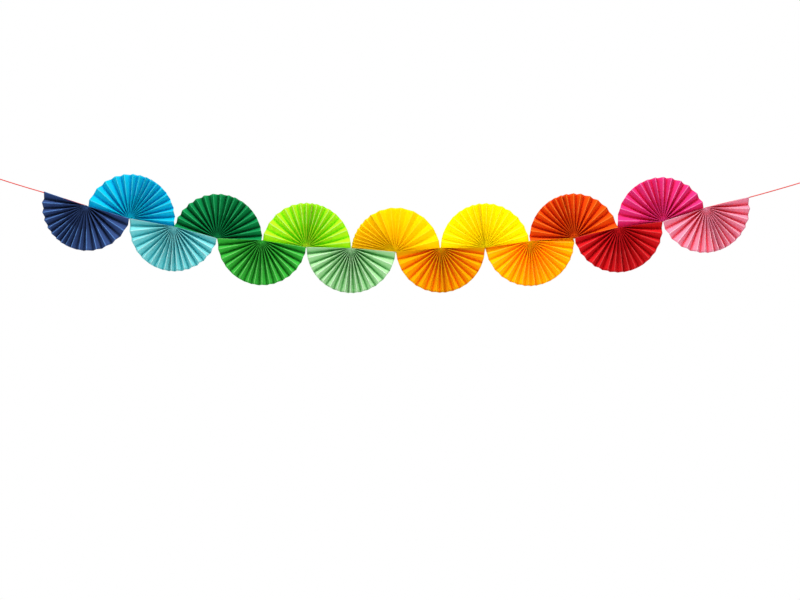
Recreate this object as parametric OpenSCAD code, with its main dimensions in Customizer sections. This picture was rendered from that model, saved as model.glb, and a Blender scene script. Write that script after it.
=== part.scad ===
// Paper fan garland: fifteen pleated half-round fans on a taut thread, by turns below and above it.
// Each fan is one sheet, folded like an accordion, pinched across its middle and bent round until
// its two halves meet in a glued seam. The straight edge of a fan is glued, half and half, to the
// edges of its two neighbours, with the thread caught in between.
// +X runs along the garland, +Y away from the viewer and +Z up. The origin is the point where the
// left loop bears on its hook.

/* [Fans] */
// Radius of a fan, which is half the length of its sheet
fan_radius = 100; // [80:1:130]
// Width of one pleat across the flat paper, from fold to fold
pleat_width = 17.5; // [15:0.5:22]
// Pleats that open out in each half of most fans
open_pleats = 15; // [9:1:20]
// Width of the flap, along the seam, that joins the two halves of a fan
seam_flap = 8; // [5:0.5:15]
// Unevenness of the pleats, spread by hand, as a share of a pleat
unevenness = 0.1; // [0:0.01:0.3]
// Thickness of the paper
paper_thickness = 0.15; // [0.1:0.01:0.25]
// Room between two layers of paper where a fan is pinched
pinch_room = 0.15; // [0.1:0.01:0.4]
// Gap between the tips of two fans on the same side of the thread
tip_gap = 1; // [0.5:0.5:12]
// Film of glue on each face of the thread and of a seam
glue_film = 0.05; // [0.02:0.01:0.15]
// Tilt of the first fan's free edge at its tip
first_tilt = 22; // [0:1:30]
// Tilt of the last fan's free edge at its tip
last_tilt = 12; // [0:1:30]

/* [Thread] */
// Diameter of the thread
thread_diameter = 2.4; // [1:0.1:3]
// Thickness of the thread where two fans press it flat
pressed_thickness = 0.4; // [0.3:0.05:0.8]
// Width of the thread where two fans press it flat
pressed_width = 3.2; // [2:0.1:5]
// Slope of the left tail, down from its knot to the fans
left_slope = -17; // [-30:1:0]
// Slope of the right tail, up from the fans to its knot
right_slope = 16; // [0:1:30]

/* [Hanging loops] */
// Inner diameter of a loop
loop_diameter = 14; // [8:0.5:30]
// Distance from the knot to the round of the loop
loop_neck = 8; // [6:0.5:30]
// Turns of thread in a knot
knot_turns = 3; // [2:1:5]

/* [Hidden] */

// Fans from left to right, in the order of their names above: the paper, the pleats that a half has
// over the usual number, whether the fold along the thread lies in front, the lean of the seam to
// the right in degrees, and how far the pleats of the left and right half bunch towards the seam
fan_colours = ["#34508f", "#0aa0d6", "#86cfd2", "#0a8a48", "#3fb449", "#a3df1e", "#a5d6a2",
    "#f6d50b", "#f0aa0c", "#f7e70c", "#fbb20d", "#ef5f18", "#d5202c", "#e03178", "#e68fa8"];
thread_colour = "#de4a40";
extra_pleats = [1, 0, 0, 0, 0, 0, 0, 0, 0, 0, 1, 0, 0, -2, 0];
folds_in_front = [true, false, true, true, true, false, true, false, true, false, false, true, true,
    false, true];
seam_leans = [-11, 9, 5, 2, 1, 3, -1, -34, 4, -4, 3, -6, -1, 3, 6];
left_bunching = [0.35, 0.4, 0.3, 0.05, 0.2, 0.45, 0.2, -0.4, 0.4, 0.25, 0.45, 0.35, 0.25, 0.3, 0.45];
right_bunching = [0.4, 0.3, 0.3, 0.2, 0.15, 0.5, 0.45, 0.2, 0.15, 0.25, 0.15, 0.35, 0.25, 0.2, 0.35];
// Slope of each stretch of the chain, from the centre of one fan to the centre of the next
slopes = [-17.5, -16.5, -10, -15.5, -2.5, -9, -1, -5, 5.5, 0, 8.5, 4, 13.5, 7.5, 18, 13.5];
// Route of each tail: distance from its knot, and rise above a straight line
left_route = [[0, 0], [4, -0.1], [10, -0.2], [16, -0.3], [23, -0.4], [30, -0.4], [38, -0.5],
    [46, -0.5], [54, -0.5], [62, -0.5], [70, -0.5], [78, -0.4], [86, -0.3], [94, -0.2],
    [102, -0.1], [106, 0], [110, 0]];
right_route = [[0, 0], [4, -0.1], [10, -0.2], [17, -0.3], [25, -0.4], [33, -0.4], [41, -0.5],
    [50, -0.5], [59, -0.5], [68, -0.5], [77, -0.5], [86, -0.4], [95, -0.3], [104, -0.2],
    [113, -0.1], [120, 0], [125, 0]];

fan_count = len(fan_colours);
pitch = fan_radius + tip_gap / 2;
pinch_pitch = paper_thickness + pinch_room;
glue_offset = pressed_thickness / 2 + glue_film + paper_thickness / 2;
seam_offset = glue_film + paper_thickness / 2;
least_depth = 0.34 * pleat_width; // a pleat never opens flatter than this
fold_depth = 2 * paper_thickness;
thread_radius = thread_diameter / 2;
thread_sides = 8;
loop_inner = loop_diameter / 2;
loop_radius = loop_inner + thread_radius;
knot_length = knot_turns * thread_diameter;
loop_reach = loop_radius + loop_neck;
knot_groove = 2.6 * thread_radius; // the turns lie round the doubled thread
knot_radius = 3.2 * thread_radius;
leg_offset = 1.4 * thread_radius; // of the two legs of a loop, where they enter the knot
leg_angle = asin(loop_radius / norm([loop_reach, leg_offset])) - atan2(leg_offset, loop_reach);
tail_start = loop_inner + loop_reach + knot_length; // from a loop's bearing point to its tail
left_length = left_route[len(left_route) - 1].x;
right_length = right_route[len(right_route) - 1].x;
first_vertex = (tail_start + left_length) * unit(left_slope);
chain = [for (j = [0 : fan_count + 1]) chain_vertex(j)];
right_anchor = chain[fan_count + 1] + (tail_start + right_length) * unit(right_slope);

// Plane geometry in the plane of the garland, X and Z
function unit(angle) = [cos(angle), sin(angle)];
function turned(v) = [-v.y, v.x];
function towards(from, to) = (to - from) / norm(to - from);
function miter(n1, n2) = (n1 + n2) / (1 + n1 * n2);
function in_space(p, y) = [p.x, y, p.y];
function chain_vertex(j) = j == 0 ? first_vertex : chain_vertex(j - 1) + pitch * unit(slopes[j - 1]);

// One half of a fan: hand is -1 for the left half and 1 for the right one
function above(k) = k % 2 == 0 ? -1 : 1;
function pleats(k) = round(open_pleats) + extra_pleats[k];
function seam_crease(k) = pleats(k) + 1; // creases run from the glued edge, 0 and 1, to the flap
function last_crease(k) = pleats(k) + 2;
function pinch_half(k) = pleats(k) * pinch_pitch;
function centre(k) = chain[k + 1];
function edge_angle(k, hand) = hand > 0 ? slopes[k + 1] : slopes[k] + 180;
function turn(k, hand) = hand * above(k);
function opening(k) = 180 + above(k) * (slopes[k] - slopes[k + 1]);
function half_opening(k, hand) = opening(k) / 2 - hand * seam_leans[k];
function bunching(k, hand) = hand > 0 ? right_bunching[k] : left_bunching[k];
function has_free_edge(k, hand) = (k == 0 && hand < 0) || (k == fan_count - 1 && hand > 0);
function free_tilt(k, hand) = !has_free_edge(k, hand) ? 0 : hand < 0 ? first_tilt : last_tilt;

// Share of the opening, 0 at the glued edge and 1 at the seam, that lies before crease i
function order(k, i) = min(max((i - 1) / pleats(k), 0), 1);
function share(s, bunch) = s + bunch * s * (1 - s);
function wobble(k, hand, i) = i < 2 || i > pleats(k) ? 0
    : unevenness / pleats(k) * sin(100 * i + 70 * k + 40 * hand);
function crease_angle(k, hand, i) =
    half_opening(k, hand) * (share(order(k, i), bunching(k, hand)) + wobble(k, hand, i));
function crease_heading(k, hand, i) = unit(edge_angle(k, hand) + turn(k, hand) * crease_angle(k, hand, i));

// Where crease i ends at the rim: shifted sideways off the glue line or the seam, and tilted
// with the glued pleat where no neighbour holds it
function free_offset(tilt) = thread_radius / cos(tilt) + glue_film + paper_thickness / 2;
function edge_offset(k, hand) = has_free_edge(k, hand) ? free_offset(free_tilt(k, hand)) : glue_offset;
function tilt_rise(k, hand, i) = i > 1 ? 0 : (i == 0 ? 1 : -1) * pleat_width / 2 * sin(free_tilt(k, hand));
function sideways(k, hand, i) =
    edge_offset(k, hand) * (1 - order(k, i)) - seam_offset * order(k, i) + tilt_rise(k, hand, i);
function rim_point(k, hand, i) =
    let (heading = crease_heading(k, hand, i))
    centre(k) + fan_radius * heading + sideways(k, hand, i) * turn(k, hand) * turned(heading);

// Where crease i turns out of the pinched stack in the middle of the sheet
function stack_height(k) =
    glue_offset + pinch_half(k) * (1 + max(0, cos(half_opening(k, -1)), cos(half_opening(k, 1))));
function pinch_point(k, hand, i) =
    let (edge = unit(edge_angle(k, hand)), seam = crease_heading(k, hand, seam_crease(k)))
    let (first = pinch_half(k) * edge + glue_offset * turn(k, hand) * turned(edge))
    let (last = stack_height(k) * seam - seam_offset * turn(k, hand) * turned(seam))
    centre(k) + first * (1 - order(k, i)) + last * order(k, i);

// Half the depth of the zigzag at crease i, by the opening of the pleats on its two sides
function rim_chord(k, hand, i) =
    i < 0 || i > pleats(k) ? 0 : norm(rim_point(k, hand, i + 1) - rim_point(k, hand, i));
function rim_depth(k, hand, i) =
    let (chord = (rim_chord(k, hand, i - 1) + rim_chord(k, hand, i)) / 2)
    i < 2 ? pleat_width / 2 * cos(free_tilt(k, hand))
          : sqrt(max(pleat_width * pleat_width - chord * chord, least_depth * least_depth)) / 2;

// The paper at one crease is three points: the two sides of the fold's nose, and the inside of
// the fold behind it. The flap ends short of the other face, its nose square to the plane.
function crease_points(k, i, p, sideways, depth) =
    let (is_flap = i == last_crease(k), slant = is_flap ? 1 : pleat_width / (2 * depth))
    let (half = sideways * paper_thickness / 2 * slant, out = is_flap ? seam_flap - depth : depth)
    [in_space(p - half, face_of(k, i) * out), in_space(p + half, face_of(k, i) * out),
        in_space(p, face_of(k, i) * (out - fold_depth))];
function face_of(k, i) = (folds_in_front[k] ? 1 : -1) * (i % 2 == 0 ? 1 : -1);
function rim_ring(k, hand) = [for (i = [0 : last_crease(k)])
    each crease_points(k, i, rim_point(k, hand, i), turn(k, hand) * turned(crease_heading(k, hand, i)),
        rim_depth(k, hand, min(i, seam_crease(k))))];
function pinch_miter(k, hand, i) =
    let (across = towards(pinch_point(k, -1, i), pinch_point(k, 1, i)))
    let (along = towards(pinch_point(k, hand, i), rim_point(k, hand, i)))
    miter(above(k) * turned(across), turn(k, hand) * turned(along));
function pinch_ring(k, hand) = [for (i = [0 : last_crease(k)])
    each crease_points(k, i, pinch_point(k, hand, i), pinch_miter(k, hand, i), pleat_width / 2)];

// Faces of a folded sheet whose rings list three points for each crease, up to the last one
ring_count = 4;
function nose_low(last, s, i) = 3 * (s * (last + 1) + i);
function nose_high(last, s, i) = nose_low(last, s, i) + 1;
function inner_low(last, s, i) = nose_low(last, s, i) + (i == 0 ? 0 : 2);
function inner_high(last, s, i) = nose_low(last, s, i) + (i == last ? 1 : 2);
function quad(odd, a, b, c, d) = odd ? [[d, c, b], [d, b, a]] : [[a, b, c], [a, c, d]];

function pleat_side(s, odd, a, b, c, d) = s < ring_count / 2 ? quad(odd, a, b, c, d) : quad(odd, b, c, d, a);
function pleat_faces(last, s, i) = let (odd = i % 2 == 1) concat(
    pleat_side(s, odd, inner_low(last, s, i), inner_low(last, s + 1, i),
        nose_low(last, s + 1, i + 1), nose_low(last, s, i + 1)),
    pleat_side(s, odd, nose_high(last, s, i), inner_high(last, s, i + 1),
        inner_high(last, s + 1, i + 1), nose_high(last, s + 1, i)));
function nose_faces(last, s, i) =
    quad(i % 2 == 1, nose_low(last, s, i), nose_high(last, s, i),
        nose_high(last, s + 1, i), nose_low(last, s + 1, i));
function rim_faces(last, s, flip, i) =
    quad((i + flip) % 2 == 1, inner_low(last, s, i), nose_high(last, s, i),
        inner_high(last, s, i + 1), nose_low(last, s, i + 1));
function fold_end(last, s, flip, i) =
    let (low = nose_low(last, s, i), high = nose_high(last, s, i))
    (i + flip) % 2 == 1 ? [low + 2, high, low] : [low, high, low + 2];
function sheet_faces(last) = concat(
    [for (s = [0 : ring_count - 2], i = [0 : last - 1]) each pleat_faces(last, s, i)],
    [for (s = [0 : ring_count - 2], i = [0 : last]) each nose_faces(last, s, i)],
    [for (flip = [0, 1], i = [0 : last - 1]) each rim_faces(last, (1 - flip) * (ring_count - 1), flip, i)],
    [for (flip = [0, 1], i = [1 : last - 1]) fold_end(last, (1 - flip) * (ring_count - 1), flip, i)]);

// A fan above the thread with its first fold in front, or below it with that fold behind, is folded
// the other way round, so its faces turn over
module fan(k) {
    turned_over = (above(k) > 0) == folds_in_front[k];
    faces = [for (face = sheet_faces(last_crease(k))) turned_over ? [face[2], face[1], face[0]] : face];
    color(fan_colours[k])
        polyhedron(concat(rim_ring(k, -1), pinch_ring(k, -1), pinch_ring(k, 1), rim_ring(k, 1)), faces);
}

// A tube through a list of oval rings: centre, unit normal in the plane, half height and half width
module tube(rings) {
    points = [for (ring = rings, a = [0 : thread_sides - 1])
        let (turn = 360 * a / thread_sides)
        in_space(ring[0] + ring[2] * cos(turn) * ring[1], ring[3] * sin(turn))];
    last = (len(rings) - 1) * thread_sides;
    sides = [for (r = [0 : len(rings) - 2], a = [0 : thread_sides - 1])
        let (next = (a + 1) % thread_sides, row = r * thread_sides)
        each quad(false, row + a, row + next, row + thread_sides + next, row + thread_sides + a)];
    start = [for (a = [thread_sides - 1 : -1 : 0]) a];
    end = [for (a = [0 : thread_sides - 1]) last + a];
    polyhedron(points, concat([start], sides, [end]));
}

// The stretch of thread that the fans hold, round at its two ends and pressed flat in between
module thread() {
    last = fan_count + 1;
    headings = [for (j = [0 : last]) [unit(slopes[max(j - 1, 0)]), unit(slopes[min(j, last - 1)])]];
    color(thread_colour)
        tube([for (j = [0 : last])
            let (free = j == 0 || j == last)
            [chain[j], miter(turned(headings[j][0]), turned(headings[j][1])),
                free ? thread_radius : pressed_thickness / 2, free ? thread_radius : pressed_width / 2]]);
}

// A free tail from its knot to the fans, along its route
module tail(anchor, heading, route) {
    color(thread_colour)
        tube([for (p = route)
            let (middle = anchor + (tail_start + p.x) * heading + [0, p.y])
            [middle, turned(heading), thread_radius, thread_radius]]);
}

// A hanging loop, from the bearing point at the origin out along +X to the face of its knot
module loop() {
    middle = [loop_inner, 0];
    knot_end = [loop_inner + loop_reach, 0];
    arc = 90 + leg_angle;
    bends = [for (t = [-arc : arc / 8 : arc + 0.1])
        [middle - loop_radius * unit(t), unit(t), thread_radius, thread_radius]];
    legs = [for (side = [-1, 1])
        [knot_end - side * [0, leg_offset], unit(90 * side), thread_radius / cos(leg_angle), thread_radius]];
    color(thread_colour)
        tube(concat([legs[0]], bends, [legs[1]]));
}

// Turns of thread wound round the doubled thread, beyond the loop
module knot() {
    color(thread_colour)
        tube([for (t = [0 : 2 * knot_turns])
            let (radius = t % 2 == 0 ? knot_groove : knot_radius)
            [[loop_inner + loop_reach + t * thread_radius, 0], [0, 1], radius, radius]]);
}

module at_left_end() {
    rotate([0, -left_slope, 0])
        children();
}

module at_right_end() {
    translate(in_space(right_anchor, 0))
        rotate([0, 180 - right_slope, 0])
            children();
}

module left_tail() {
    tail([0, 0], unit(left_slope), left_route);
}

module right_tail() {
    tail(right_anchor, unit(right_slope + 180), right_route);
}

module left_knot() {
    at_left_end() knot();
}

module right_knot() {
    at_right_end() knot();
}

module left_loop() {
    at_left_end() loop();
}

module right_loop() {
    at_right_end() loop();
}

for (k = [0 : fan_count - 1])
    fan(k);
thread();
left_tail();
right_tail();
left_knot();
right_knot();
left_loop();
right_loop();
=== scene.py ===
import math

import bpy
import numpy as np
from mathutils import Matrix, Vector


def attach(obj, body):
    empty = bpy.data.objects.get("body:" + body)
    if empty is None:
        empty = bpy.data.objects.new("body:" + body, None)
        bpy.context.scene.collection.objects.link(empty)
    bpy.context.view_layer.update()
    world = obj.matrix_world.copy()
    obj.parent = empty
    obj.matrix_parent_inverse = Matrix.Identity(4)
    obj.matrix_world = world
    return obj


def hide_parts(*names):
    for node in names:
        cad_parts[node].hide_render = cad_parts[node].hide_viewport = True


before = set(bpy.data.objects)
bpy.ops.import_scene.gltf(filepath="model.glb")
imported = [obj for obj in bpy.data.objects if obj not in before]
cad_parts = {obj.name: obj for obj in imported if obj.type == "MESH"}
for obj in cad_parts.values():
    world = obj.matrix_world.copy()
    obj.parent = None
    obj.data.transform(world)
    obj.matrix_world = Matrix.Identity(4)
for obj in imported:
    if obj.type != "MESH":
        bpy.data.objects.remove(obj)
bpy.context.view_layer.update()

scene = bpy.context.scene
scene.view_settings.view_transform = "Standard"

# The garland's own frame: x along it, y away from the viewer, z up, in metres
garland = {
    "fanRadius": 0.100,
    "tipGap": 0.001,
    "pleatWidth": 0.0175,
    "seamFlap": 0.008,
    "unevenness": 0.1,
    "unevenTurn": (100, 70, 40),  # degrees by crease, by fan and by half
    "paper": 0.00015,
    "pinchRoom": 0.00015,
    "glueFilm": 0.00005,
    "freeTilt": (22, 12),  # degrees at the tip of the first fan's and the last fan's free edge
    "threadDiameter": 0.0024,
    "pressed": (0.0004, 0.0032),  # thickness and width of the thread between two fans
    "tailSlope": (-17, 16),
    "loopDiameter": 0.014,
    "loopNeck": 0.008,
    "knotTurns": 3,
    "slopes": [-17.5, -16.5, -10, -15.5, -2.5, -9, -1, -5, 5.5, 0, 8.5, 4, 13.5, 7.5, 18, 13.5],
}


def unit(degrees):
    turn = np.radians(degrees)
    return np.stack([np.cos(turn), np.sin(turn)], axis=-1)


def turned(v):
    return np.stack([-v[..., 1], v[..., 0]], axis=-1)


def length(v):
    return np.linalg.norm(v, axis=-1)


def soft(x, roundness):
    # a ramp, 0 below zero and x above it, with its corner rounded
    return (x + np.sqrt(x * x + roundness * roundness)) / 2


def inSpace(flat, y):
    # points of the garland's plane, x and z, put at depth y
    return np.stack([flat[..., 0], np.broadcast_to(y, flat.shape[:-1]), flat[..., 1]], axis=-1)


pitch = garland["fanRadius"] + garland["tipGap"] / 2
threadRadius = garland["threadDiameter"] / 2
loopInner = garland["loopDiameter"] / 2
loopRadius = loopInner + threadRadius
knotLength = garland["knotTurns"] * garland["threadDiameter"]
tailStart = loopInner + loopRadius + garland["loopNeck"] + knotLength
slopes = np.array(garland["slopes"], float)

# Route of each tail, as in the CAD: distance from its knot and rise above a straight line
leftRoute = np.array([
    (0.000, 0.0000), (0.004, -0.0001), (0.010, -0.0002), (0.016, -0.0003), (0.023, -0.0004),
    (0.030, -0.0004), (0.038, -0.0005), (0.046, -0.0005), (0.054, -0.0005), (0.062, -0.0005),
    (0.070, -0.0005), (0.078, -0.0004), (0.086, -0.0003), (0.094, -0.0002), (0.102, -0.0001),
    (0.106, 0.0000), (0.110, 0.0000)])
rightRoute = np.array([
    (0.000, 0.0000), (0.004, -0.0001), (0.010, -0.0002), (0.017, -0.0003), (0.025, -0.0004),
    (0.033, -0.0004), (0.041, -0.0005), (0.050, -0.0005), (0.059, -0.0005), (0.068, -0.0005),
    (0.077, -0.0005), (0.086, -0.0004), (0.095, -0.0003), (0.104, -0.0002), (0.113, -0.0001),
    (0.120, 0.0000), (0.125, 0.0000)])

leftEnd = np.zeros(2)
leftHeading = unit(garland["tailSlope"][0])
rightHeading = -unit(garland["tailSlope"][1])
chain = (tailStart + leftRoute[-1, 0]) * leftHeading + np.vstack(
    [np.zeros((1, 2)), np.cumsum(pitch * unit(slopes), axis=0)])
rightEnd = chain[-1] - (tailStart + rightRoute[-1, 0]) * rightHeading

# Camera: square to the garland, from below it, with its lens shifted up
photoView = {
    "middle": chain[0] + (0.7977, -0.2407),  # x and z at the middle of the picture
    "distance": 2.8,
    "drop": 0.2,  # of the camera below the middle of the picture
    "pixelsPerMetre": 445.7,
    "pictureWidth": 800,
    "sensorWidth": 36,
}
cameraData = bpy.data.cameras.new("camera")
cameraData.sensor_width = photoView["sensorWidth"]
cameraData.lens = (cameraData.sensor_width * photoView["pixelsPerMetre"] * photoView["distance"]
                   / photoView["pictureWidth"])
cameraData.shift_y = photoView["drop"] * photoView["pixelsPerMetre"] / photoView["pictureWidth"]
camera = bpy.data.objects.new("camera", cameraData)
camera.location = (photoView["middle"][0], -photoView["distance"],
                   photoView["middle"][1] - photoView["drop"])
camera.rotation_euler = (math.radians(90), 0, 0)
scene.collection.objects.link(camera)
scene.camera = camera
print("camera set")


class Shade:
    # one socket of a material: arithmetic on it adds Math nodes, node() adds any other node
    def __init__(self, tree, socket=None):
        self.tree = tree
        self.socket = socket

    def node(self, kind, settings=None, inputs=None, output=0):
        made = self.tree.nodes.new(kind)
        for key, value in (settings or {}).items():
            setattr(made, key, value)
        for key, value in (inputs or {}).items():
            self.feed(made.inputs[key], value)
        return Shade(self.tree, made.outputs[output])

    def feed(self, target, value):
        if isinstance(value, Shade):
            self.tree.links.new(value.socket, target)
        else:
            target.default_value = value

    def maths(self, operation, a, b):
        return self.node("ShaderNodeMath", {"operation": operation}, {0: a, 1: b})

    def mix(self, factor, a, b, blend="MIX"):
        return self.node("ShaderNodeMix", {"data_type": "RGBA", "blend_type": blend},
                         {0: factor, 6: a, 7: b}, output=2)

    def ramp(self, places, values):
        # a smooth step of this socket, from one value to the other between two places
        return self.node("ShaderNodeMapRange", {"interpolation_type": "SMOOTHSTEP"},
                         {0: self, 1: places[0], 2: places[1], 3: values[0], 4: values[1]})

    def __add__(self, other):
        return self.maths("ADD", self, other)

    def __rsub__(self, other):
        return self.maths("SUBTRACT", other, self)

    def __mul__(self, other):
        return self.maths("MULTIPLY", self, other)

    __radd__ = __add__
    __rmul__ = __mul__


def newMaterial(name):
    material = bpy.data.materials.new(name)
    material.use_nodes = True
    shader = material.node_tree.nodes["Principled BSDF"]
    return material, shader, Shade(material.node_tree)


def linear(code):
    # a colour written as on screen, "#rrggbb", as the light it stands for
    part = np.array([int(code[i:i + 2], 16) for i in (1, 3, 5)]) / 255
    return tuple(np.where(part < 0.04045, part / 12.92, ((part + 0.055) / 1.055) ** 2.4).tolist())


def addMesh(name, points, faces, material, uv):
    mesh = bpy.data.meshes.new(name)
    mesh.from_pydata(points.reshape(-1, 3).tolist(), [], faces)
    mesh.polygons.foreach_set("use_smooth", np.ones(len(mesh.polygons), bool))
    corner = np.zeros(len(mesh.loops), np.int32)
    mesh.loops.foreach_get("vertex_index", corner)
    layer = mesh.uv_layers.new(name="flat")
    layer.uv.foreach_set("vector", uv.reshape(-1, 2)[corner].astype(np.float32).ravel())
    mesh.materials.append(material)
    mesh.update()
    piece = bpy.data.objects.new(name, mesh)
    scene.collection.objects.link(piece)
    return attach(piece, "root")


def gridFaces(rows, columns, closed=False):
    # quads of a grid of points, joined up across its columns if closed
    index = np.arange(rows * columns).reshape(rows, columns)
    if closed:
        index = np.concatenate([index, index[:, :1]], axis=1)
    quads = np.stack([index[:-1, :-1], index[:-1, 1:], index[1:, 1:], index[1:, :-1]], axis=-1)
    return quads.reshape(-1, 4).tolist()


# Thread: three plies twisted together
threadLook = {
    "colour": "#c8261a",
    "sides": 24,
    "ringSpacing": 0.0004,
    "plies": 3,
    "plyDepth": 0.06,  # share of the radius
    "twistPitch": 0.0055,
    "fibreScale": (900, 30, 1),
    "slubScale": 320.0,
    "fibreShare": 0.65,  # of the mottling, which is slubs for the rest
    "darkest": 0.8,
    "palest": 0.03,  # of the way to white
    "roughness": 0.9,
    "specular": 0.1,
    "bump": (0.5, 0.0002),  # strength and height
}


def threadMaterial():
    material, shader, start = newMaterial("twistedThread")
    flat = start.node("ShaderNodeUVMap", {"uv_map": "flat"})
    stretched = start.node("ShaderNodeMapping", None, {"Vector": flat, "Scale": threadLook["fibreScale"]})
    fibre = start.node("ShaderNodeTexNoise", None, {"Vector": stretched, "Scale": 1.0, "Detail": 4.0})
    place = start.node("ShaderNodeTexCoord", output=3)
    slub = start.node("ShaderNodeTexNoise", None,
                      {"Vector": place, "Scale": threadLook["slubScale"], "Detail": 2.0})
    base = linear(threadLook["colour"])
    dark = (*[threadLook["darkest"] * c for c in base], 1)
    light = (*[c + threadLook["palest"] * (1 - c) for c in base], 1)
    share = threadLook["fibreShare"]
    start.feed(shader.inputs["Base Color"], start.mix(share * fibre + (1 - share) * slub, dark, light))
    shader.inputs["Roughness"].default_value = threadLook["roughness"]
    shader.inputs["Specular IOR Level"].default_value = threadLook["specular"]
    strength, rise = threadLook["bump"]
    bump = start.node("ShaderNodeBump", None, {"Strength": strength, "Distance": rise, "Height": fibre})
    start.feed(shader.inputs["Normal"], bump)
    return material


threadFinish = threadMaterial()


def spaced(path, spacing):
    # the same path at even steps
    steps = np.concatenate([[0], np.cumsum(length(np.diff(path, axis=0)))])
    count = max(2, int(round(steps[-1] / spacing)) + 1)
    even = np.linspace(0, steps[-1], count)
    return np.stack([np.interp(even, steps, path[:, axis]) for axis in range(3)], axis=-1), even


def tubeGrid(path, side, halfHeight, halfWidth, along, sides):
    # rings of an oval about each point of a path: r = 1 - p + p cos(plies (turn - twist)), half
    # height towards side and half width across it
    tangent = np.gradient(path, axis=0)
    tangent /= length(tangent)[:, None]
    side = side - np.sum(side * tangent, axis=-1)[:, None] * tangent
    side /= length(side)[:, None]
    across = np.cross(tangent, side)
    turn = 2 * np.pi * np.arange(sides) / sides
    twist = 2 * np.pi * along[:, None] / threadLook["twistPitch"]
    plyDepth = threadLook["plyDepth"]
    radius = 1 - plyDepth + plyDepth * np.cos(threadLook["plies"] * (turn - twist))
    points = (path[:, None] + (radius * np.cos(turn) * halfHeight[:, None])[..., None] * side[:, None]
              + (radius * np.sin(turn) * halfWidth[:, None])[..., None] * across[:, None])
    uv = np.stack([np.broadcast_to(turn * threadRadius, radius.shape),
                   np.broadcast_to(along[:, None], radius.shape)], axis=-1)
    return points, uv


def addTube(name, path, side, node, halfHeight=None, halfWidth=None, spacing=None, sides=None):
    path, along = spaced(path, spacing or threadLook["ringSpacing"])
    sides = sides or threadLook["sides"]
    if side.ndim > 1:
        even, given = np.linspace(0, 1, len(path)), np.linspace(0, 1, len(side))
        side = np.stack([np.interp(even, given, side[:, axis]) for axis in range(3)], axis=-1)
    side = np.broadcast_to(side, path.shape)
    halfHeight = np.full(len(path), threadRadius) if halfHeight is None else halfHeight(along)
    halfWidth = np.full(len(path), threadRadius) if halfWidth is None else halfWidth(along)
    points, uv = tubeGrid(path, side, halfHeight, halfWidth, along, sides)
    faces = gridFaces(len(path), sides, closed=True)
    faces.append(list(range(sides))[::-1])
    faces.append([len(path) * sides - sides + i for i in range(sides)])
    piece = addMesh(name, points, [list(reversed(face)) for face in faces], threadFinish, uv)
    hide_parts(node)
    return piece, path


# Knot and hanging loop: a coil about the doubled thread
knotLook = {
    "legOffset": 1.4,  # thread radii from the middle to each leg of the loop
    "coilRadius": 2.2,  # thread radii
    "coilStart": 1.2,  # thread radii from the loop
    "coilPitch": 0.92,  # thread diameters
    "coilShort": 0.5,  # turns
    "loopPoints": 49,
    "coilPoints": 120,
}


def addEnd(label, anchor, heading, route):
    # one free end of the thread: the tail along its route, its knot, and the hanging loop
    normal = turned(heading)
    depthAxis = np.array([0.0, 1.0, 0.0])
    tailFlat = anchor + (tailStart + route[:, :1]) * heading + route[:, 1:] * np.array([0, 1])
    tailPath = inSpace(tailFlat, 0.0)
    tail, tailLine = addTube(label + "Tail", tailPath, depthAxis, label + "_tail")

    loopReach = loopRadius + garland["loopNeck"]
    legOffset = knotLook["legOffset"] * threadRadius
    legAngle = (math.degrees(math.asin(loopRadius / math.hypot(loopReach, legOffset)))
                - math.degrees(math.atan2(legOffset, loopReach)))
    bend = np.linspace(-90 - legAngle, 90 + legAngle, knotLook["loopPoints"])
    loopArc = np.array([loopInner, 0]) - loopRadius * unit(bend)
    knotFace = loopInner + loopReach
    loopFlat = np.vstack([[[knotFace, legOffset]], loopArc, [[knotFace, -legOffset]]])
    loopPath = inSpace(anchor + loopFlat[:, :1] * heading + loopFlat[:, 1:] * normal, 0.0)
    loop, _ = addTube(label + "Loop", loopPath, depthAxis, label + "_loop")

    turns = np.linspace(0, garland["knotTurns"] - knotLook["coilShort"], knotLook["coilPoints"])
    coil = knotLook["coilRadius"] * threadRadius
    swing = 2 * np.pi * turns
    coilFlat = (knotFace + threadRadius * knotLook["coilStart"]
                + turns * garland["threadDiameter"] * knotLook["coilPitch"])
    radial = inSpace(np.cos(swing)[:, None] * normal, np.sin(swing))
    knotPath = inSpace(anchor + coilFlat[:, None] * heading, 0.0) + coil * radial
    knot, _ = addTube(label + "Knot", knotPath, radial, label + "_knot")

    tailLine[::4].tolist() + [tailLine[-1].tolist()]


addEnd("left", leftEnd, leftHeading, leftRoute)
addEnd("right", rightEnd, rightHeading, rightRoute)

# Stretch of the thread that the fans hold
runLook = {
    "squeeze": 5,  # power by which it flattens on the way to the first pinch
    "hump": (16, 48),  # powers of the hump just before that pinch
    "humpRise": 0.0016,
    "humpForward": 0.013,
    "points": 41,  # along the first and the last fan's free edge
    "ringSpacing": 0.0012,
    "sides": 16,
}


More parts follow.
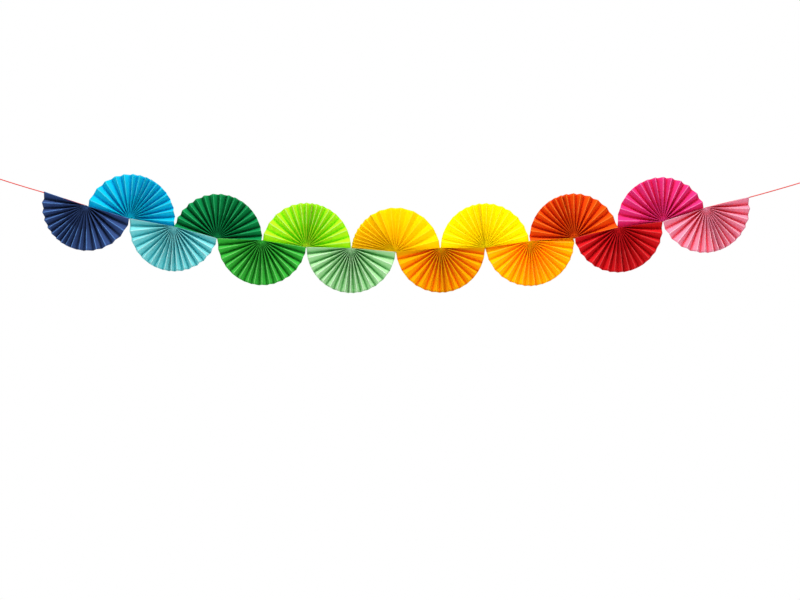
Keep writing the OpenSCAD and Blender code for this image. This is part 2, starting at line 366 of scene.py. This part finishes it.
def addRun():
    # the stretch that the fans hold: pressed to an oval between two of them, and round on the free
    # edge of the first and the last one, where it lies on the paper until it comes to the pinch
    flat = garland["pressed"]
    total = pitch * len(slopes)

    def ease(along):
        return np.clip(np.minimum(along, total - along) / pitch, 0, 1)

    def halfHeight(along):
        return threadRadius + (flat[0] / 2 - threadRadius) * ease(along) ** runLook["squeeze"]

    def halfWidth(along):
        return threadRadius + (flat[1] / 2 - threadRadius) * ease(along) ** runLook["squeeze"]

    share = np.linspace(0, 1, runLook["points"])[:, None]
    up, down = runLook["hump"]
    hump = share ** up - share ** down  # most at 0.97
    lift = ((threadRadius - flat[0] / 2) * (share - share ** runLook["squeeze"])
            + runLook["humpRise"] * hump)
    first = chain[0] + share * (chain[1] - chain[0]) + lift * turned(unit(slopes[0]))
    last = chain[-1] + share * (chain[-2] - chain[-1]) + lift * turned(unit(slopes[-1]))
    path = np.concatenate([inSpace(first, -runLook["humpForward"] * hump[:, 0]),
                           inSpace(chain[2:-2], 0.0), inSpace(last[::-1], 0.0)])
    addTube("heldThread", path, np.array([0.0, 0.0, 1.0]), "thread",
            halfHeight=halfHeight, halfWidth=halfWidth,
            spacing=runLook["ringSpacing"], sides=runLook["sides"])


addRun()
print("thread made")

# Fans from left to right: node, paper, painted shade deep in a fold, ridge colour (part wear, part
# painted highlight), pleats that open out in each half, whether the fold along the thread lies in front,
# lean of the seam to the right in degrees, and how far the pleats of the left and the right half bunch
# towards the seam
fans = [
    ("navy", "#304676", "#080c18", "#527ab6", 16, True, -11, (0.35, 0.4)),
    ("sky_blue", "#04cce4", "#0088c8", "#48dcec", 15, False, 9, (0.4, 0.3)),
    ("turquoise", "#84dcde", "#00acb8", "#bcf2f2", 15, True, 5, (0.3, 0.3)),
    ("forest_green", "#068646", "#012410", "#2ca464", 15, True, 2, (0.05, 0.2)),
    ("grass_green", "#40c042", "#006008", "#78dc70", 15, True, 1, (0.2, 0.15)),
    ("lime", "#dae62a", "#58f000", "#ecf688", 15, False, 3, (0.45, 0.5)),
    ("mint", "#b0e2a6", "#089c2c", "#daf4d2", 15, True, -1, (0.2, 0.45)),
    ("golden", "#f2d800", "#ffe600", "#f6e220", 15, False, -34, (-0.4, 0.2)),
    ("amber", "#f4c800", "#f05800", "#f8d400", 15, True, 4, (0.4, 0.15)),
    ("lemon", "#f8ea00", "#fff400", "#f8ee40", 15, False, -4, (0.25, 0.25)),
    ("marigold", "#ffec00", "#ff8400", "#fff040", 16, False, 3, (0.45, 0.15)),
    ("orange", "#e85204", "#cc0c00", "#f07a28", 15, True, -6, (0.35, 0.35)),
    ("red", "#d0141c", "#b80004", "#d83e3e", 15, True, -1, (0.25, 0.25)),
    ("magenta", "#dc307a", "#dc0034", "#ee70a6", 13, False, 3, (0.3, 0.2)),
    ("pink", "#e88ca4", "#f40430", "#f4b8c6", 15, True, 6, (0.45, 0.35)),
]
pleatLook = {
    "rows": 27,  # from the middle of the sheet to a rim
    "columns": (0, 0.012, 0.04, 0.07, 0.36, 0.5, 0.64, 0.93, 0.96, 0.988),  # across one pleat
    "foldRadius": 0.0004,
    "foldShare": 0.04,  # of a pleat's width, in the round of a fold
    "foldBend": (0.012, 0.7),  # share of the width by which that much of the round is done
    "foldMost": 0.45,  # of the gap between two creases
    "leastGap": 1e-7,
    "leastDepth": 0.34,  # of a pleat's width, from a front crease to a back one
    "pinchShare": 0.26,  # of the rows
    "pinchRoundness": 0.25,
    "bow": 0.0004,  # of a pleat's face, out of flat
    "bowTurn": (2.4, 1.7),  # radians by pleat and by fan
    "bowReach": 1.4,  # the bow is most at half of this share of the way to the rim
    "threadBulge": 0.14,  # half width over the thread, as a share of a pleat
}

glueOffset = garland["pressed"][0] / 2 + garland["glueFilm"] + garland["paper"] / 2
seamOffset = garland["glueFilm"] + garland["paper"] / 2


def halfCreases(k, hand):
    # where the creases of one half of fan k leave its pinch and where they end at its rim, with
    # headings that swing from the glued edge round to the seam, the tilt of the glued pleat, and how
    # far the thread lifts its middle
    *_, pleats, _, lean, bunching = fans[k]
    creases = np.arange(pleats + 3)
    order = np.clip((creases - 1) / pleats, 0, 1)
    pinchHalf = pleats * (garland["paper"] + garland["pinchRoom"])
    above = -1 if k % 2 == 0 else 1
    turn = hand * above
    edgeAngle = slopes[k + 1] if hand > 0 else slopes[k] + 180
    opening = 180 + above * (slopes[k] - slopes[k + 1])
    halfOpening = opening / 2 - np.array([-1, 1]) * lean
    half = halfOpening[(hand + 1) // 2]
    bunch = bunching[(hand + 1) // 2]
    loose = (creases > 1) & (creases <= pleats)
    byCrease, byFan, byHalf = garland["unevenTurn"]
    wobble = np.where(loose, np.sin(np.radians(byCrease * creases + byFan * k + byHalf * hand)), 0)
    wobble = wobble * garland["unevenness"] / pleats
    heading = unit(edgeAngle + turn * half * (order + bunch * order * (1 - order) + wobble))

    isFree = (k == 0 and hand < 0) or (k == len(fans) - 1 and hand > 0)
    tilt = math.radians(garland["freeTilt"][(hand + 1) // 2]) if isFree else 0.0
    freeOffset = threadRadius / math.cos(tilt) + garland["glueFilm"] + garland["paper"] / 2
    edgeOffset = freeOffset if isFree else glueOffset
    bulge = 0.0 if isFree else glueOffset - seamOffset
    gluedSide = np.select([creases == 0, creases == 1], [1, -1], 0)
    lift = gluedSide * garland["pleatWidth"] / 2 * math.sin(tilt)
    sideways = edgeOffset * (1 - order) - seamOffset * order + lift - np.where(creases < 2, bulge, 0)
    centre = chain[k + 1]
    rim = centre + garland["fanRadius"] * heading + (sideways * turn)[:, None] * turned(heading)

    edge, seam = heading[0], heading[-1]
    stack = glueOffset + pinchHalf * (1 + max(0, *np.cos(np.radians(halfOpening))))
    first = pinchHalf * edge + glueOffset * turn * turned(edge)
    last = stack * seam - seamOffset * turn * turned(seam)
    pinch = centre + first * (1 - order)[:, None] + last * order[:, None]
    return pinch, rim, tilt, bulge * turn * turned(edge)


def flatWidth(k):
    # across the flat sheet of fan k: the glued pleat, the pleats that open out, and the flap
    return garland["pleatWidth"] * (fans[k][-4] + 1) + garland["seamFlap"]


def fanGrid(k):
    # A folded sheet, rows along it and columns across its pleats. Along a crease the paper runs from
    # the middle of the pinch to its corner and out to the rim, p = m + (c - m) a + (r - c) b, with a
    # and b soft ramps. Each crease stands as far in front or behind as the width of a pleat allows,
    # y = sqrt(width^2 - gap^2) / 2, and the face of a pleat bows a little between its two creases,
    # which are rounded: their two sides stand a fold radius apart, or less where there's no room.
    # The last pleat runs straight to the seam, and the last column is the free edge of its flap.
    *_, pleats, inFront, _, _ = fans[k]
    creases = np.arange(pleats + 3)
    face = np.where((creases % 2 == 0) == inFront, 1, -1)
    width = garland["pleatWidth"]
    least = pleatLook["leastDepth"] * width
    share = np.linspace(0, 1, pleatLook["rows"])
    corner = pleatLook["pinchShare"]
    bend = pleatLook["pinchRoundness"]
    x = share / corner - 1
    a = (soft(1, bend) - soft(-x, bend)) / (soft(1, bend) - soft(-x[-1], bend))
    b = (soft(x, bend) - soft(-1, bend)) / (soft(x[-1], bend) - soft(-1, bend))
    ends = {hand: halfCreases(k, hand) for hand in (-1, 1)}
    middle = (ends[-1][0] + ends[1][0]) / 2
    halves, bulges = [], []
    for hand in (-1, 1):
        pinch, rim, tilt, bulge = ends[hand]
        line = middle + a[:, None, None] * (pinch - middle) + b[:, None, None] * (rim - pinch)
        gap = np.pad(length(np.diff(line[:, :-1], axis=1)), ((0, 0), (1, 2)))
        gap = (gap[:, 1:] + gap[:, :-1]) / 2
        depth = np.sqrt(np.maximum(width ** 2 - gap ** 2, least ** 2)) / 2
        glued = width / 2 * (1 + (math.cos(tilt) - 1) * b)
        depth = np.where(creases < 2, glued[:, None], depth)
        depth[:, -1] = garland["seamFlap"] - depth[:, -2]
        halves.append(inSpace(line, face * depth))
        bulges.append(b[:, None] * inSpace(bulge, 0.0))
    folds = np.concatenate([halves[0][::-1], halves[1][1:]])
    bulges = np.concatenate([bulges[0][::-1], bulges[1][1:]])
    out = np.concatenate([b[::-1], b[1:]])

    part = np.array(pleatLook["columns"])
    pleat = creases[:-1]
    start, end = folds[:, :-1, None], folds[:, 1:, None]
    step = end - start
    flat = step * np.array([1, 0, 1])
    gap = np.maximum(length(flat), pleatLook["leastGap"])
    isRound = (pleat > 0) & (pleat <= pleats)
    tip = np.minimum(pleatLook["foldRadius"] / gap, pleatLook["foldMost"]) * isRound[:, None]
    tipEnd = tip * (pleat < pleats)[:, None]
    foldShare = pleatLook["foldShare"]
    bendPlace, bendDone = pleatLook["foldBend"]
    places, done = (0, bendPlace, foldShare), (0, bendDone, 1)
    rise = np.interp(part, places, done)
    fall = 1 - np.interp(1 - part, places, done)
    endShare = np.where(pleat < pleats, foldShare, 0)[:, None]
    straight = np.clip((part - foldShare) / (1 - foldShare - endShare), 0, 1)
    lean = tip * rise + (1 - tip - tipEnd) * straight + tipEnd * fall
    faces = start + step * part[:, None] + flat * (lean - part)[..., None]
    along = np.gradient((folds[:, 1:] + folds[:, :-1]) / 2, axis=0)
    normal = np.cross(folds[:, 1:] - folds[:, :-1], along)
    normal /= length(normal)[..., None]
    byPleat, byFan = pleatLook["bowTurn"]
    sway = np.sin(byPleat * pleat + byFan * k) * np.where(pleat == 0, 0, 1)
    fade = out * (pleatLook["bowReach"] - out)
    bow = pleatLook["bow"] * sway[None, :, None] * np.sin(np.pi * part) * fade[:, None, None]
    faces = faces + bow[..., None] * normal[:, :, None]
    swell = np.exp(-((part - 0.5) / pleatLook["threadBulge"]) ** 2)
    faces[:, 0] += swell[:, None] * bulges[:, None]
    grid = np.concatenate([faces.reshape(len(folds), -1, 3), folds[:, -1:]], axis=1)

    widths = np.where(pleat == pleat[-1], garland["seamFlap"], width)
    across = np.append((pleat[:, None] * width + widths[:, None] * part).ravel(), flatWidth(k))
    sheet = np.concatenate([-share[::-1], share[1:]]) * garland["fanRadius"]
    uv = np.stack(np.broadcast_arrays(across[None, :], sheet[:, None]), axis=-1)
    ridge = (1 - face) / 2
    height = np.append((ridge[:-1, None] + (ridge[1:] - ridge[:-1])[:, None] * part).ravel(), 0.5)
    return grid, uv, height, out[:, None]


def paperShells(grid):
    # both faces of the paper, half its thickness off the grid along the normals, joined at the rims;
    # the first shell is the one that faces the viewer
    rows, columns = grid.shape[:2]
    normal = np.cross(np.gradient(grid, axis=1), np.gradient(grid, axis=0))
    normal /= length(normal)[..., None]
    front = np.array(gridFaces(rows, columns))
    index = np.arange(rows * columns).reshape(rows, columns)
    loop = np.concatenate([index[0, :-1], index[:-1, -1], index[-1, :0:-1], index[:0:-1, 0]])
    after = np.roll(loop, -1)
    rim = np.stack([after, loop, loop + index.size, after + index.size], axis=-1)
    faces = np.concatenate([front, front[:, ::-1] + index.size, rim])
    if normal[..., 1].mean() > 0:
        normal = -normal
        faces = faces[:, ::-1]
    points = np.stack([grid + normal * garland["paper"] / 2, grid - normal * garland["paper"] / 2])
    return points, faces.tolist()


# Paper: heights run from 0 in the hollow of a pleat to 1 on its ridge
paperLook = {
    "cloudScale": 90.0,
    "grainScale": 1400.0,
    "fibreScale": (2200, 420, 1),
    "hollow": (0.03, 0.45),  # heights between which the painted shade of the hollow ends
    "hollowFade": 0.5,  # of the painted shade, gone at the rim
    "ridge": (0.85, 0.96),  # heights between which the pale ridge colour, part wear and part painted highlight, starts
    "ridgeWearAndHighlight": (0.7, 0.5),  # share of the pale ridge colour, wear and painted highlight, and more where the sheet is cloudy
    "mottle": (0.96, 0.08),  # least brightness and its range
    "mottleShares": (0.5, 0.25, 0.25),  # of clouds, grain and fibres
    "roughness": (0.72, 0.2),  # least, and more with the grain
    "specular": 0.08,
    "bump": (0.2, 0.00012),  # strength and height
    "bumpGrain": 0.6,  # of the bump, which is fibres for the rest
    "translucent": (0.12, 0.65),  # share of light that passes, and more through a bright strong dye
    "pinchHeight": (0.1, 1.6),  # scale of the heights at the pinch, and its growth on the way out; low heights spread the painted shade there
    "pinchMiddle": (0.35, 0.06),  # more of that height in the middle of the pinch, and how far out
}


def paperMaterial(name, code, foldShadeCode, ridgeCode):
    # dyed paper, a little translucent: fibres and cloudy formation in the sheet, painted shade deep in
    # the hollow of a pleat, and paler along its ridge with wear and a painted highlight
    material, shader, start = newMaterial(name + "Paper")
    flat = start.node("ShaderNodeUVMap", {"uv_map": "flat"})
    cloud = start.node("ShaderNodeTexNoise", None,
                       {"Vector": flat, "Scale": paperLook["cloudScale"], "Detail": 3.0})
    grain = start.node("ShaderNodeTexNoise", None,
                       {"Vector": flat, "Scale": paperLook["grainScale"], "Detail": 4.0})
    stretched = start.node("ShaderNodeMapping", None, {"Vector": flat, "Scale": paperLook["fibreScale"]})
    fibre = start.node("ShaderNodeTexNoise", None, {"Vector": stretched, "Scale": 1.0, "Detail": 3.0})
    height = start.node("ShaderNodeAttribute", {"attribute_name": "height"}, output=2)
    reach = start.node("ShaderNodeAttribute", {"attribute_name": "reach"}, output=2)
    base = linear(code)
    # pale ridge colour: part wear along the fold, part painted highlight
    pale = (*linear(ridgeCode), 1)
    # painted shade: the hollows of the pleats, darker and more saturated than the dye
    paintedFoldShade = (*linear(foldShadeCode), 1)
    hollow = height.ramp(paperLook["hollow"], (1.0, 0.0))
    ridge = height.ramp(paperLook["ridge"], (0.0, 1.0))
    wearAndHighlight, cloudy = paperLook["ridgeWearAndHighlight"]
    surface = start.mix(ridge * (wearAndHighlight + cloudy * cloud), (*base, 1), pale)
    # the painted shade fills the hollow of each pleat, with half of it gone at the rim
    body = start.mix(hollow * (1 - paperLook["hollowFade"] * reach * reach), surface, paintedFoldShade)
    least, more = paperLook["mottle"]
    clouds, grains, fibres = paperLook["mottleShares"]
    grey = least + more * (clouds * cloud + grains * grain + fibres * fibre)
    mottle = start.node("ShaderNodeCombineColor", None, dict.fromkeys(range(3), grey))
    start.feed(shader.inputs["Base Color"], start.mix(1.0, body, mottle, "MULTIPLY"))
    least, more = paperLook["roughness"]
    start.feed(shader.inputs["Roughness"], least + more * grain)
    shader.inputs["Specular IOR Level"].default_value = paperLook["specular"]
    strength, rise = paperLook["bump"]
    share = paperLook["bumpGrain"]
    bump = start.node("ShaderNodeBump", None, {"Strength": strength, "Distance": rise,
                                               "Height": share * grain + (1 - share) * fibre})
    start.feed(shader.inputs["Normal"], bump)
    glow = (*[(a + b) / 2 for a, b in zip(base, paintedFoldShade)], 1)
    through = start.node("ShaderNodeBsdfTranslucent", None, {"Color": glow})
    lit = Shade(start.tree, shader.outputs[0])
    least, more = paperLook["translucent"]
    brightness = float(np.dot(base, (0.21, 0.72, 0.07)))
    passes = least + more * (brightness - min(base))
    both = start.node("ShaderNodeMixShader", None, {0: passes, 1: lit, 2: through})
    start.feed(start.tree.nodes["Material Output"].inputs["Surface"], both)
    return material


def addFan(k):
    name, *codes = fans[k][:4]
    grid, uv, height, out = fanGrid(k)
    points, faces = paperShells(grid)
    words = name.split("_")
    label = words[0] + "".join(word.capitalize() for word in words[1:])
    piece = addMesh(label + "Fan", points, faces, paperMaterial(label, *codes), np.stack([uv, uv]))
    # heights lowered near the pinch spread the painted shade of the hollows over the pleats there
    least, growth = paperLook["pinchHeight"]
    more, extent = paperLook["pinchMiddle"]
    spread = np.clip(least + growth * out, 0, 1) + more * np.exp(-(out / extent) ** 2)
    marks = {"height": np.stack([height * spread, (1 - height) * spread]),
             "reach": np.broadcast_to(out, (2, *grid.shape[:2]))}
    for mark, values in marks.items():
        layer = piece.data.attributes.new(mark, "FLOAT", "POINT")
        layer.data.foreach_set("value", values.astype(np.float32).ravel())
    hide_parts(name + "_fan")


for k in range(len(fans)):
    addFan(k)
print("fans folded:", len(fans))

# Studio: white all round to the eye, an even soft light, lamps above, in front and behind, a pale floor
studio = {
    "ambient": 0.34,
    "aim": (0.93, 0, -0.15),
    "lamps": [
        # name, place, width, height, power
        ("key", (0.93, -1.9, 2.7), 2.0, 1.2, 184),
        ("fill", (0.93, -3.0, -0.3), 2.6, 1.6, 34),
        ("back", (0.93, 2.4, 1.8), 2.0, 1.2, 70),
    ],
    "floorGrey": 0.86,
    "floorRoughness": 0.9,
    "floorHeight": -1.45,
    "floorReach": 9.0,
    "floorWhite": 0.7,  # share of white to the eye where the shadow falls
    "shadowReach": (0.9, 1.7),  # the floor keeps a shadow within the first, none past the second
}


def whiteToEye(start):
    ray = start.node("ShaderNodeLightPath")
    outputs = ray.socket.node.outputs
    rays = ("Is Camera Ray", "Is Glossy Ray", "Is Transmission Ray")
    direct, mirrored, through = [Shade(start.tree, outputs[key]) for key in rays]
    return start.maths("MAXIMUM", start.maths("MAXIMUM", direct, mirrored), through)


world = bpy.data.worlds.new("studio")
scene.world = world
world.use_nodes = True
sky = world.node_tree.nodes["Background"]
start = Shade(world.node_tree)
sky.inputs["Color"].default_value = (1, 1, 1, 1)
start.feed(sky.inputs["Strength"], studio["ambient"] + (1 - studio["ambient"]) * whiteToEye(start))

for name, place, wide, high, power in studio["lamps"]:
    lamp = bpy.data.lights.new(name, "AREA")
    lamp.shape = "RECTANGLE"
    lamp.size = wide
    lamp.size_y = high
    lamp.energy = power
    holder = bpy.data.objects.new(name, lamp)
    holder.location = place
    holder.rotation_euler = (Vector(studio["aim"]) - Vector(place)).to_track_quat("-Z", "Y").to_euler()
    scene.collection.objects.link(holder)


def addFloor():
    # a flat square far below the garland, white to the eye past the shadow
    material, shader, start = newMaterial("paleFloor")
    place = start.node("ShaderNodeTexCoord", output=3)
    spread = start.node("ShaderNodeVectorMath", {"operation": "DISTANCE"},
                        {0: place, 1: (photoView["middle"][0], 0, studio["floorHeight"])}, output=1)
    fade = spread.ramp(studio["shadowReach"], (studio["floorWhite"], 1.0))
    grey = studio["floorGrey"]
    shader.inputs["Base Color"].default_value = (grey, grey, grey, 1)
    shader.inputs["Roughness"].default_value = studio["floorRoughness"]
    glow = start.node("ShaderNodeEmission", None, {"Color": (1, 1, 1, 1), "Strength": 1.0})
    lit = Shade(start.tree, shader.outputs[0])
    both = start.node("ShaderNodeMixShader", None, {0: fade * whiteToEye(start), 1: lit, 2: glow})
    start.feed(start.tree.nodes["Material Output"].inputs["Surface"], both)
    reach = studio["floorReach"]
    corner = np.array([(-1, -1), (1, -1), (1, 1), (-1, 1)], float) * reach
    corner = np.column_stack([corner + (photoView["middle"][0], 0), np.full(4, studio["floorHeight"])])
    mesh = bpy.data.meshes.new("floor")
    mesh.from_pydata(corner.tolist(), [], [(0, 1, 2, 3)])
    mesh.materials.append(material)
    floor = bpy.data.objects.new("floor", mesh)
    scene.collection.objects.link(floor)


addFloor()
print("studio lit")
